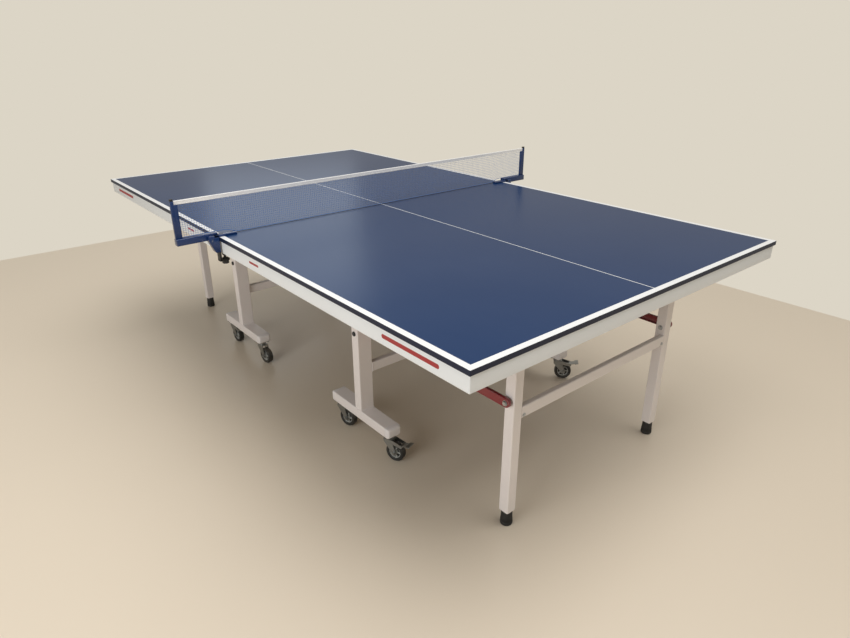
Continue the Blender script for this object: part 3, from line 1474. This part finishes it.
class NetMesh(Repeater):
    """Crossed cords of a net, which rise over the clamps near the posts."""

    def __init__(self) -> None:
        """Wires the tree: lines of cord both ways, shaped by their place, then given their thickness."""
        super().__init__("Net mesh", (("Half Width", "Float"), ("Bottom", "Float"), ("Top", "Float"),
                                      ("Columns", "Int"), ("Rows", "Int"), ("Cord", "Float"), ("Rise", "Float"),
                                      ("Rise Start", "Float"), ("Rise End", "Float"), ("Wander", "Float"),
                                      ("Finish", "Material")))
        w, given = self.w, self.given
        wide, bottom, top = given("Half Width"), given("Bottom"), given("Top")
        minus = w.math("MULTIPLY", wide, -1.0)
        corner = w.add("ShaderNodeCombineXYZ", Y=minus, Z=bottom).outputs[0]
        upper = w.add("ShaderNodeCombineXYZ", Y=minus, Z=top).outputs[0]
        across = w.add("ShaderNodeCombineXYZ", Y=wide, Z=bottom).outputs[0]
        joined = w.add("GeometryNodeJoinGeometry")
        for own_end, far_end, own_count, far_count in ((upper, across, given("Rows"), given("Columns")),
                                                       (across, upper, given("Columns"), given("Rows"))):
            line = w.add("GeometryNodeMeshLine", {"mode": "END_POINTS"}, Count=own_count, Start_Location=corner,
                         Offset=own_end).outputs[0]
            length = w.math("SUBTRACT", far_count, 1.0)
            gap = w.add("ShaderNodeVectorMath", {"operation": "SUBTRACT"}, i0=far_end, i1=corner).outputs[0]
            step = w.add("ShaderNodeVectorMath", {"operation": "DIVIDE"}, i0=gap,
                         i1=w.add("ShaderNodeCombineXYZ", X=length, Y=length, Z=length).outputs[0]).outputs[0]
            places = w.add("GeometryNodeMeshLine", {"mode": "OFFSET"}, Count=far_count, Offset=step).outputs[0]
            copies = w.add("GeometryNodeInstanceOnPoints", Points=places, Instance=line).outputs[0]
            w.tree.links.new(w.add("GeometryNodeRealizeInstances", Geometry=copies).outputs[0], joined.inputs[0])
        place = w.add("GeometryNodeInputPosition").outputs[0]
        parts = w.add("ShaderNodeSeparateXYZ", Vector=place)
        ramp = w.add("ShaderNodeMapRange", {"interpolation_type": "SMOOTHSTEP"},
                     i0=w.math("ABSOLUTE", parts.outputs[1]), i1=given("Rise Start"), i2=given("Rise End"), i3=0.0,
                     i4=given("Rise")).outputs[0]
        share = w.math("DIVIDE", w.math("SUBTRACT", top, parts.outputs[2]), w.math("SUBTRACT", top, bottom))
        drift = w.add("ShaderNodeTexNoise", Vector=place, Scale=7.0, Detail=1.0).outputs[0]
        middle = w.math("MULTIPLY", share, w.math("SUBTRACT", 1.0, share))
        out = w.math("MULTIPLY", w.math("MULTIPLY", w.math("SUBTRACT", drift, 0.5), given("Wander")), middle)
        offset = w.add("ShaderNodeCombineXYZ", X=out, Z=w.math("MULTIPLY", ramp, share)).outputs[0]
        shaped = w.add("GeometryNodeSetPosition", Geometry=joined.outputs[0], Offset=offset).outputs[0]
        curves = w.add("GeometryNodeMeshToCurve", Mesh=shaped).outputs[0]
        ring = w.add("GeometryNodeCurvePrimitiveCircle", {"mode": "RADIUS"}, Resolution=4, Radius=given("Cord"))
        cords = w.add("GeometryNodeCurveToMesh", Curve=curves, Profile_Curve=ring.outputs[0], Fill_Caps=True)
        self.close(cords.outputs[0])


@dataclass
class NetSet:
    """The net with its tape and foot cord, its two posts and their clamps."""

    pitch: float = 8.5 * MM
    cord: float = 0.45 * MM
    tape_height: float = 15 * MM
    post_width: float = 25 * MM
    post_depth: float = 10 * MM
    arm_height: float = 25 * MM
    arm_bottom: float = 750 * MM
    surface: float = 760 * MM
    plate: float = 8 * MM
    gusset_reach: tuple[float, float] = (40 * MM, 20 * MM)
    gusset_bottom: float = 702 * MM
    jaw: float = 8 * MM
    rise: float = 14 * MM

    def __post_init__(self) -> None:
        """Reads the posts' and the net's place from the CAD."""
        self.low, self.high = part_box("net_post_right")
        self.net_low, self.net_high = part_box("net")
        self.post_in = self.high.y - self.post_width
        self.body = body_of("net")
        self.ramp = (self.low.y - 20 * MM, self.low.y + 40 * MM)
        self.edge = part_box("near_board")[1].y

    def build(self) -> None:
        """Makes the net and what holds it."""
        self.posts()
        self.jaws()
        tape, hem = self.tape(), self.foot_cord()
        stitches = self.stitches()
        self.netting()
        for hand in Hand:
            repaint(f"clamp_screw_{hand.name.lower()}", Finishes.KNOB)
            repaint(f"clamp_pad_{hand.name.lower()}", Finishes.PAD)

    def foot(self, y: float) -> float:
        """Finds the height of the net's lower edge, which rises smoothly over the clamps.

        Args:
            y: The distance from the centre line.

        Returns:
            The height above the floor.
        """
        start, end = self.ramp
        t = min(1.0, max(0.0, (abs(y) - start) / (end - start)))
        return self.surface + 4 * MM + self.rise * t * t * (3 - 2 * t)

    def netting(self) -> None:
        wide, bottom, top = self.post_in, self.foot(0), self.net_high.z - self.tape_height + 2 * MM
        columns, rows = (1 + round(span / self.pitch) for span in (2 * wide, top - bottom))
        mesh = NetMesh().bake(bpy.data.meshes.new("net seed"), Half_Width=wide, Bottom=bottom, Top=top,
                              Columns=columns, Rows=rows, Cord=self.cord, Rise=self.rise,
                              Rise_Start=self.ramp[0], Rise_End=self.ramp[1], Wander=12 * MM,
                              Finish=Finishes.get(Finishes.NET))
        net = Repeater.shown("net_mesh", mesh)
        dress(net, self.body, ("net",))

    def tape(self) -> bpy.types.Object:
        """Folds the white tape over the top cord.

        Returns:
            The tape.
        """
        top, drop = self.net_high.z, self.tape_height
        face = [(-1.1, -drop / MM), (-1.3, -11), (-1.5, -7), (-1.95, -3.4), (-2.0, -2.0), (-1.6, -0.7), (-0.8, -0.1)]
        outline = face + [(0, 0)] + [(-x, z) for x, z in reversed(face)]
        steps = 180
        rings = []
        for i in range(steps + 1):
            y = self.net_low.y + (self.net_high.y - self.net_low.y) * i / steps
            swell, droop = 1 + 0.06 * math.sin(y * 61), 1 + 0.02 * math.sin(y * 37)
            rings.append([Vector((x * MM * swell, y, top + z * MM * droop)) for x, z in outline])
        bm = bmesh.new()
        Bench.skin(bm, rings)
        return dress(Bench.piece("net_tape", bm, (Finishes.TAPE,), Shading.SOFT), self.body)

    def stitches(self) -> bpy.types.Object:
        """Sews the tape along its lower edge, on both faces.

        Returns:
            The stitches.
        """
        bm, pitch = bmesh.new(), 5 * MM
        count = int((2 * self.post_in - 0.01) / pitch)
        seam = self.net_high.z - self.tape_height + 2.4 * MM
        for x in (-1, 1):
            row = ROWS.bake(bpy.data.meshes.new("row"), Count=count, Pitch=pitch,
                            Size=(3.2 * MM, 0.5 * MM, 0.5 * MM), Lean=0.12, Finish=Finishes.get(Finishes.TAPE))
            along = aimed(Vector((x * 1.25 * MM, -self.post_in + 6 * MM, seam)), Vector((x, 0, 0)),
                          Vector((0, 1, 0)))
            row.transform(along)
            bm.from_mesh(row)
        return dress(Bench.piece("net_stitches", bm, (Finishes.TAPE,)), self.body)

    def foot_cord(self) -> bpy.types.Object:
        """Runs the cord along the lower edge of the net.

        Returns:
            The cord.
        """
        radius, steps = 1.2 * MM, 160
        rings = []
        for i in range(steps + 1):
            y = -self.post_in + 2 * self.post_in * i / steps
            rings.append([Vector((radius * math.cos(a), y, self.foot(y) + radius * math.sin(a)))
                          for a in (math.radians(45 * k) for k in range(8))])
        bm = bmesh.new()
        Bench.skin(bm, rings)
        return dress(Bench.piece("net_foot_cord", bm, (Finishes.NET,), Shading.SOFT), self.body)

    @staticmethod
    def span(hand: Hand, xs: Sequence[float], ys: Sequence[float], zs: Sequence[float]) -> tuple[Vector, Vector]:
        """Turns a box on the right of the table into its corners on one hand.

        Args:
            hand: The side of the table that the box goes on.
            xs: Where it starts and ends, along the table.
            ys: Where it starts and ends, out from the centre line.
            zs: Its bottom and top.

        Returns:
            The lowest and the highest corner.
        """
        across = sorted(hand.value * y for y in ys)
        return Vector((xs[0], across[0], zs[0])), Vector((xs[1], across[1], zs[1]))

    def posts(self) -> None:
        """Makes the posts with their arms, clamp plates and gussets, and the black post caps."""
        bm, caps = bmesh.new(), bmesh.new()
        half, middle = self.post_depth / 2, self.high.y - self.post_width / 2
        arm_top = self.arm_bottom + self.arm_height
        shelf = self.net_high.z - self.tape_height
        waist, cap = arm_top - 2 * MM, 0.3 * MM
        for hand in Hand:
            inner = self.span(hand, (-half, half), (self.post_in, middle + 2 * MM), (waist, shelf))
            outer = self.span(hand, (-half, half), (middle, self.high.y), (waist, self.high.z - 7 * MM))
            lid = self.span(hand, (-half + cap, half - cap), (middle + cap, self.high.y - cap),
                            (self.high.z - 9 * MM, self.high.z))
            arm = self.span(hand, (self.low.x, -self.low.x), (self.edge + MM, self.high.y), (self.arm_bottom, arm_top))
            clamp = self.span(hand, (MM, self.high.x), (self.low.y, self.edge + MM + self.gusset_reach[1]),
                              (self.surface, self.surface + self.plate))
            Bench.block(bm, *inner, 1.2 * MM)
            Bench.block(bm, *outer, 1.2 * MM)
            Bench.block(caps, *lid, 1.6 * MM)
            Bench.block(bm, *arm, 2.6 * MM, axis=1)
            Bench.block(bm, *clamp, 2 * MM)
            web, top = self.edge + MM, self.surface + self.plate
            outline = [(web, self.gusset_bottom), (web + self.gusset_reach[1] - 3 * MM, self.gusset_bottom),
                       (web + self.gusset_reach[1], self.gusset_bottom + 3 * MM),
                       (web + self.gusset_reach[0], self.arm_bottom), (web + self.gusset_reach[0], top), (web, top)]
            place = Matrix(((0, 0, 1, MM), (hand.value, 0, 0, 0), (0, 1, 0, 0), (0, 0, 0, 1)))
            Bench.plate(bm, outline, self.high.x - MM, place, ease=1.2 * MM)
        posts = Bench.piece("net_posts", bm, (Finishes.POST,))
        Bench.mark_rims(posts, 0.9)
        dress(posts, self.body, ("net_post_left", "net_post_right"))
        dress(Bench.piece("net_post_caps", caps, (Finishes.KNOB,)), self.body)

    def jaws(self) -> None:
        """Makes the black jaw of each clamp, with the boss that its screw runs in."""
        bm = bmesh.new()
        screw_low, screw_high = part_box("clamp_screw_right")
        screw = Vector(((screw_low.x + screw_high.x) / 2, (screw_low.y + screw_high.y) / 2))
        web = self.edge + MM
        for hand in Hand:
            ys = sorted((hand.value * web, hand.value * (web + self.jaw)))
            Bench.block(bm, (MM, ys[0], self.low.z), (self.high.x, ys[1], self.gusset_bottom + 2 * MM), 1.5 * MM)
            ys = sorted((hand.value * (screw.y - 14 * MM), hand.value * (web + self.jaw)))
            Bench.block(bm, (MM, ys[0], self.low.z), (self.high.x, ys[1], self.low.z + self.plate), 2.5 * MM)
            boss = [(5.2, 7.6), (8.6, 7.6), (9.2, 8.2), (9.2, 9.6), (8.4, 10.4), (5.2, 10.4)]
            Bench.turned(bm, [(r * MM, h * MM) for r, h in boss],
                         Matrix.Translation((screw.x, hand.value * screw.y, self.low.z)), 28, hoop=True)
        dress(Bench.piece("net_clamp_jaws", bm, (Finishes.KNOB,)), self.body)


# ---- the studio ----


@dataclass
class Studio:
    """The plain floor, the soft lights, the pale surround and the camera."""

    floor_colour: str = "#D8CCBB"
    wall_colour: str = "#DCD5C6"
    ambient: float = 0.47
    floor_span: tuple[tuple[float, float], tuple[float, float]] = ((-2.95, -9.0), (9.0, 2.22))
    eye: tuple[float, float, float] = (2.2518, -1.6243, 1.4304)
    look: tuple[float, float, float] = (-0.70318, 0.58409, -0.40546)
    roll: float = -0.13
    lens: float = 26.77

    def build(self) -> None:
        """Makes everything round the table."""
        self.floor()
        self.lights()
        self.surround()
        self.camera()

    def floor(self) -> None:
        """Lays the pale floor."""
        (west, south), (east, north) = self.floor_span
        mesh = bpy.data.meshes.new("studio_floor")
        mesh.from_pydata([(west, south, 0), (east, south, 0), (east, north, 0), (west, north, 0)], [],
                         [(0, 1, 2, 3)])
        finish = Finish("studio_floor", self.floor_colour, 0.3, grain=40.0, depth=0.00002, spread=0.03, drift=0.6,
                        dust=0.0)
        mesh.materials.append(Finishes.get(finish))
        floor = linked("studio_floor", mesh)

    def light(self, name: str, at: Sequence[float], to: Sequence[float], size: float, power: float,
              colour: tuple[float, float, float]) -> None:
        """Hangs a soft square light that faces a point.

        Args:
            name: The light's name.
            at: Where it hangs.
            to: The point that it faces.
            size: The length of its sides.
            power: Its power in watts.
            colour: Its linear colour.
        """
        data = bpy.data.lights.new(name, "AREA")
        data.shape, data.size, data.energy, data.color = "SQUARE", size, power, colour
        lamp = linked(name, data)
        lamp.location = at
        lamp.visible_camera = False
        lamp.rotation_euler = (Vector(to) - Vector(at)).to_track_quat("-Z", "Y").to_euler()

    def lights(self) -> None:
        """Hangs the broad ceiling light, a soft panel over the table and a fill."""
        data = bpy.data.lights.new("ceiling glow", "SUN")
        data.energy, data.angle, data.color = 1.45, math.radians(58), (1.0, 0.985, 0.965)
        sky = linked("ceiling glow", data)
        sky.rotation_euler = (math.radians(-17), math.radians(12), 0)
        self.light("ceiling panel", (1.2, -0.8, 3.2), (0.6, -0.2, 0), 1.8, 26, (1.0, 0.98, 0.95))
        self.light("wall glow", (-2.7, 0.9, 1.9), (0.2, -0.6, 0.76), 1.3, 5.5, (0.8, 0.9, 1.0))
        self.light("side fill", (1.4, -4.6, 1.9), (0.3, 0, 0.5), 2.6, 75, (0.96, 0.98, 1.0))

    def surround(self) -> None:
        """Sets the pale walls that are seen and mirrored, and the weaker light that they give."""
        world = bpy.data.worlds.new("pale surround")
        world.use_nodes = True
        w = Wiring(world.node_tree)
        background = world.node_tree.nodes["Background"]
        background.inputs["Color"].default_value = linear(self.wall_colour)
        ray = w.add("ShaderNodeLightPath")
        seen = w.math("MAXIMUM", ray.outputs["Is Camera Ray"], w.math("MULTIPLY", ray.outputs["Is Glossy Ray"], 0.65))
        strength = w.math("MAXIMUM", seen, self.ambient)
        w.tree.links.new(strength, background.inputs["Strength"])
        bpy.context.scene.world = world

    def camera(self) -> None:
        """Sets the camera."""
        data = bpy.data.cameras.new("view")
        data.lens, data.sensor_width, data.sensor_fit = self.lens, 36.0, "HORIZONTAL"
        data.clip_end = 60
        eye = linked("view", data)
        look = Vector(self.look).normalized()
        right = look.cross(Vector((0, 0, 1))).normalized()
        up = right.cross(look)
        tilt = math.radians(self.roll)
        right, up = right * math.cos(tilt) + up * math.sin(tilt), up * math.cos(tilt) - right * math.sin(tilt)
        eye.matrix_world = Matrix.Translation(self.eye) @ Matrix((right, up, -look)).transposed().to_4x4()
        bpy.context.scene.camera = eye
        bpy.context.scene.view_settings.view_transform = "Standard"


HEADS, RIBS, ROWS, BEADS = Fasteners(), Radial(), Rows(), WeldBeads()


def main() -> None:
    """Builds the table's pieces in order, then the studio round them."""
    logging.basicConfig(level=logging.INFO, format="%(message)s")
    for half in Half:
        PlayingTop(half).build()
        Apron(half).build()
        TStand(half).build()
        EndLegs(half).build()
        LinkBars(half).build()
    for node in sorted(frame["nodes"]):
        if node.startswith("fork_"):
            name = node.removeprefix("fork_")
            Castor(name, f"brake_{name}" in frame["nodes"]).build()
    NetSet().build()
    Studio().build()


if __name__ == "__main__":
    main()
